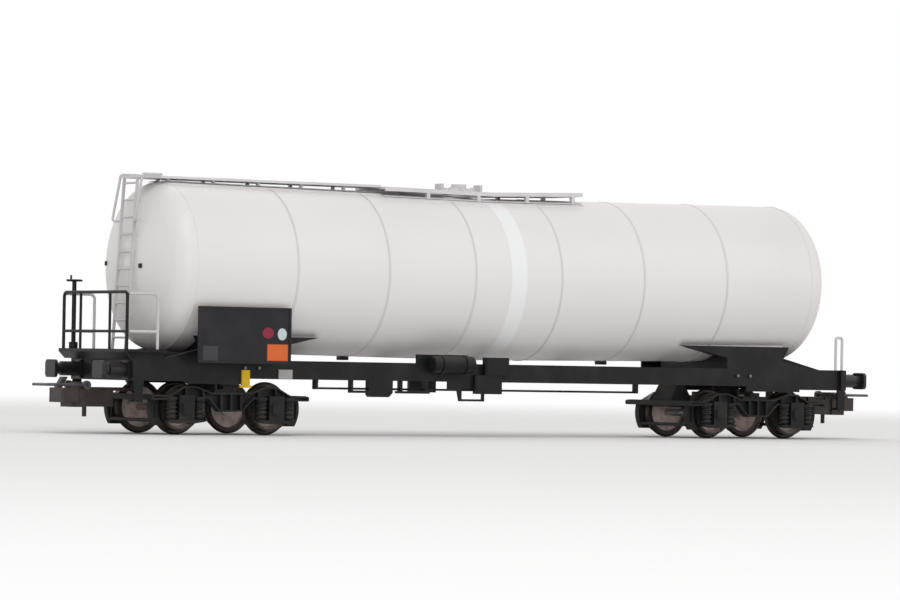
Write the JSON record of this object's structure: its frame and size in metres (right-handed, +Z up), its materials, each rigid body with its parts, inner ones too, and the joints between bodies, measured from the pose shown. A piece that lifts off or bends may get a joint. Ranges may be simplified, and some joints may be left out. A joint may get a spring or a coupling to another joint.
{
  "type": "scale model railway tank car, 1:87",
  "caption": "Model railway tank car: slightly kinked tank on a frame with bogies, buffers, loop couplings, end platform, ladder and roof walkway.",
  "frame": {"origin": "midway between the bogies, on the floor that the wheel flanges stand on", "axes": "+X along the car towards the plain end, +Y across it, +Z up"},
  "size_m": [0.205, 0.0342, 0.0529],
  "materials": {
    "tank_paint": "satin light warm grey",
    "frame_black": "satin black",
    "bogie_black": "matt black",
    "buffer_black": "satin black",
    "coupler_black": "satin black",
    "panel_black": "satin black",
    "walkway_grey": "matt light grey",
    "lever_yellow": "satin yellow paint",
    "plate_grey": "satin light grey",
    "wheel_metal": "dark blackened metal with bright treads",
    "axle_steel": "turned steel",
    "wire_steel": "blackened wire"
  },
  "bodies": {
    "car": {"air_reservoir": "frame_black", "brake_column": "frame_black", "brake_rod": "frame_black", "buffer_plain_end_far": "buffer_black", "buffer_plain_end_near": "buffer_black", "buffer_platform_end_far": "buffer_black", "buffer_platform_end_near": "buffer_black", "changeover_lever_far": "lever_yellow", "changeover_lever_near": "lever_yellow", "corner_steps_plain_end": "frame_black", "corner_steps_platform_end": "frame_black", "cross_members": "frame_black", "end_handles": "walkway_grey", "frame_end_plain": "frame_black", "frame_end_platform": "frame_black", "ladder": "walkway_grey", "ladder_grab_rails": "walkway_grey", "lever_plate_far": "plate_grey", "lever_plate_near": "plate_grey", "manhole": "walkway_grey", "outlet_box_far": "frame_black", "outlet_box_near": "frame_black", "panel_far": "panel_black", "panel_near": "panel_black", "platform_deck": "frame_black", "platform_railing": "frame_black", "saddle_plain_end": "frame_black", "saddle_platform_end": "frame_black", "side_rail_far": "walkway_grey", "side_rail_near": "walkway_grey", "sill_far": "frame_black", "sill_near": "frame_black", "step_stirrup": "frame_black", "tank_end_brackets": "frame_black", "tank_shell": "tank_paint", "valve_block": "frame_black", "valve_cradle": "frame_black", "walkway_narrow": "walkway_grey", "walkway_wide": "walkway_grey"},
    "bogie_platform_end": {"bogie_frame_platform_end": "bogie_black"},
    "wheelset_1": {"wheels_1": "wheel_metal", "axle_1": "axle_steel"},
    "wheelset_2": {"wheels_2": "wheel_metal", "axle_2": "axle_steel"},
    "coupling_platform_end": {"coupler_platform_end": "coupler_black"},
    "bail_platform_end": {"bail_platform_end": "wire_steel"},
    "bogie_plain_end": {"bogie_frame_plain_end": "bogie_black"},
    "wheelset_3": {"wheels_3": "wheel_metal", "axle_3": "axle_steel"},
    "wheelset_4": {"wheels_4": "wheel_metal", "axle_4": "axle_steel"},
    "coupling_plain_end": {"coupler_plain_end": "coupler_black"},
    "bail_plain_end": {"bail_plain_end": "wire_steel"}
  },
  "joints": [
    {"name": "bogie_swivel_platform_end", "type": "hinge", "parent": "car", "child": "bogie_platform_end", "pos_m": [-0.0656, 0, 0.01095], "axis": [0, 0, 1], "range_deg": [-12, 12]},
    {"name": "wheelset_1_spin", "type": "hinge", "parent": "bogie_platform_end", "child": "wheelset_1", "pos_m": [-0.07595, 0, 0.0054], "axis": [0, 1, 0], "continuous": true},
    {"name": "wheelset_2_spin", "type": "hinge", "parent": "bogie_platform_end", "child": "wheelset_2", "pos_m": [-0.05525, 0, 0.0054], "axis": [0, 1, 0], "continuous": true},
    {"name": "coupling_swing_platform_end", "type": "hinge", "parent": "car", "child": "coupling_platform_end", "pos_m": [-0.081, 0, 0.00925], "axis": [0, 0, 1], "range_deg": [-10, 10]},
    {"name": "bail_lift_platform_end", "type": "hinge", "parent": "coupling_platform_end", "child": "bail_platform_end", "pos_m": [-0.094, 0, 0.00965], "axis": [0, 1, 0], "range_deg": [0, 35]},
    {"name": "bogie_swivel_plain_end", "type": "hinge", "parent": "car", "child": "bogie_plain_end", "pos_m": [0.0656, 0, 0.01095], "axis": [0, 0, 1], "range_deg": [-12, 12]},
    {"name": "wheelset_3_spin", "type": "hinge", "parent": "bogie_plain_end", "child": "wheelset_3", "pos_m": [0.05525, 0, 0.0054], "axis": [0, 1, 0], "continuous": true},
    {"name": "wheelset_4_spin", "type": "hinge", "parent": "bogie_plain_end", "child": "wheelset_4", "pos_m": [0.07595, 0, 0.0054], "axis": [0, 1, 0], "continuous": true},
    {"name": "coupling_swing_plain_end", "type": "hinge", "parent": "car", "child": "coupling_plain_end", "pos_m": [0.081, 0, 0.00925], "axis": [0, 0, 1], "range_deg": [-10, 10]},
    {"name": "bail_lift_plain_end", "type": "hinge", "parent": "coupling_plain_end", "child": "bail_plain_end", "pos_m": [0.094, 0, 0.00965], "axis": [0, -1, 0], "range_deg": [0, 35]}
  ]
}
